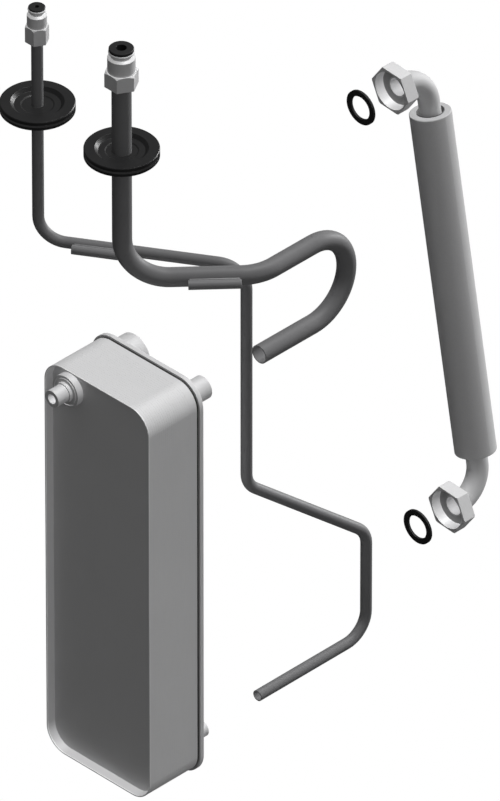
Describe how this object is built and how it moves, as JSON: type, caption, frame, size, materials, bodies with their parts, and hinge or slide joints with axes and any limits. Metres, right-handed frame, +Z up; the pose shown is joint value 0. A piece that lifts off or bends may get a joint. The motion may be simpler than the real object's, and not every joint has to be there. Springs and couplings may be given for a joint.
{
  "type": "plate heat exchanger",
  "caption": "Brazed plate heat exchanger with its refrigerant lines, flare unions, panel grommets and insulated water pipe drawn apart, each able to slide home.",
  "frame": {"origin": "centre of the outer face of the rear cover plate, between the four ports", "axes": "+Y away from the plate pack towards the lines, +Z up, +X towards the refrigerant ports"},
  "size_m": [0.2186, 0.5042, 0.6498],
  "materials": {
    "plate_steel": "satin",
    "port_steel": "satin",
    "line_steel": "satin",
    "union_steel": "satin",
    "water_pipe_steel": "satin",
    "nut_steel": "satin",
    "grommet_rubber": "matte",
    "gasket_rubber": "matte",
    "cap_plastic": "matte",
    "sleeve_foam": "matte"
  },
  "bodies": {
    "exchanger": {"front_cover_plate": "plate_steel", "rear_cover_plate": "plate_steel", "gas_port": "port_steel", "liquid_port": "port_steel", "upper_water_port": "port_steel", "lower_water_port": "port_steel", "front_port_boss": "port_steel", "front_port": "port_steel", "channel_plate_01": "plate_steel", "channel_plate_02": "plate_steel", "channel_plate_03": "plate_steel", "channel_plate_04": "plate_steel", "channel_plate_05": "plate_steel", "channel_plate_06": "plate_steel", "channel_plate_07": "plate_steel", "channel_plate_08": "plate_steel", "channel_plate_09": "plate_steel", "channel_plate_10": "plate_steel", "channel_plate_11": "plate_steel", "channel_plate_12": "plate_steel", "channel_plate_13": "plate_steel", "channel_plate_14": "plate_steel", "channel_plate_15": "plate_steel", "channel_plate_16": "plate_steel", "channel_plate_17": "plate_steel", "channel_plate_18": "plate_steel", "channel_plate_19": "plate_steel", "channel_plate_20": "plate_steel"},
    "gas_line": {"gas_tube": "line_steel", "gas_sensor_pocket": "line_steel", "gas_union": "union_steel"},
    "gas_grommet": {"gas_grommet": "grommet_rubber"},
    "gas_cap": {"gas_cap": "cap_plastic"},
    "liquid_line": {"liquid_tube": "line_steel", "liquid_sensor_pocket": "line_steel", "liquid_union": "union_steel"},
    "liquid_grommet": {"liquid_grommet": "grommet_rubber"},
    "liquid_cap": {"liquid_cap": "cap_plastic"},
    "water_pipe": {"water_pipe": "water_pipe_steel", "upper_pipe_collar": "water_pipe_steel", "lower_pipe_collar": "water_pipe_steel"},
    "insulation_sleeve": {"insulation_sleeve": "sleeve_foam"},
    "upper_union_nut": {"upper_union_nut": "nut_steel"},
    "lower_union_nut": {"lower_union_nut": "nut_steel"},
    "upper_gasket": {"upper_gasket": "gasket_rubber"},
    "lower_gasket": {"lower_gasket": "gasket_rubber"}
  },
  "joints": [
    {"name": "gas_line_slide", "type": "slide", "parent": "exchanger", "child": "gas_line", "axis": [0, 1, 0], "range_m": [-0.07415, 0]},
    {"name": "liquid_line_slide", "type": "slide", "parent": "exchanger", "child": "liquid_line", "axis": [0, 1, 0], "range_m": [-0.07327, 0]},
    {"name": "gas_grommet_slide", "type": "slide", "parent": "gas_line", "child": "gas_grommet", "axis": [0, 0, 1], "range_m": [-0.06, 0.05]},
    {"name": "liquid_grommet_slide", "type": "slide", "parent": "liquid_line", "child": "liquid_grommet", "axis": [0, 0, 1], "range_m": [-0.06, 0.05]},
    {"name": "gas_cap_slide", "type": "slide", "parent": "gas_line", "child": "gas_cap", "axis": [0, 0, 1], "range_m": [0, 0.03]},
    {"name": "liquid_cap_slide", "type": "slide", "parent": "liquid_line", "child": "liquid_cap", "axis": [0, 0, 1], "range_m": [0, 0.03]},
    {"name": "water_pipe_slide", "type": "slide", "parent": "exchanger", "child": "water_pipe", "axis": [0, 1, 0], "range_m": [-0.3561, 0]},
    {"name": "sleeve_slide", "type": "slide", "parent": "water_pipe", "child": "insulation_sleeve", "axis": [-0.1872, 0.0132, 0.9822], "range_m": [-0.015, 0.015]},
    {"name": "upper_nut_spin", "type": "hinge", "parent": "water_pipe", "child": "upper_union_nut", "pos_m": [-0.1068, 0.3755, 0.2062], "axis": [0, 1, 0], "continuous": true},
    {"name": "upper_gasket_slide", "type": "slide", "parent": "water_pipe", "child": "upper_gasket", "axis": [0, -1, 0], "range_m": [-0.03987, 0]},
    {"name": "lower_nut_spin", "type": "hinge", "parent": "water_pipe", "child": "lower_union_nut", "pos_m": [-0.036, 0.3705, -0.1652], "axis": [0, 1, 0], "continuous": true},
    {"name": "lower_gasket_slide", "type": "slide", "parent": "water_pipe", "child": "lower_gasket", "axis": [0, -1, 0], "range_m": [-0.03987, 0]}
  ],
  "couplings": [
    {"joint": "liquid_line_slide", "follows": "gas_line_slide", "ratio": 0.98786},
    {"joint": "upper_gasket_slide", "follows": "water_pipe_slide", "ratio": 0.11191},
    {"joint": "lower_gasket_slide", "follows": "water_pipe_slide", "ratio": 0.11191}
  ]
}
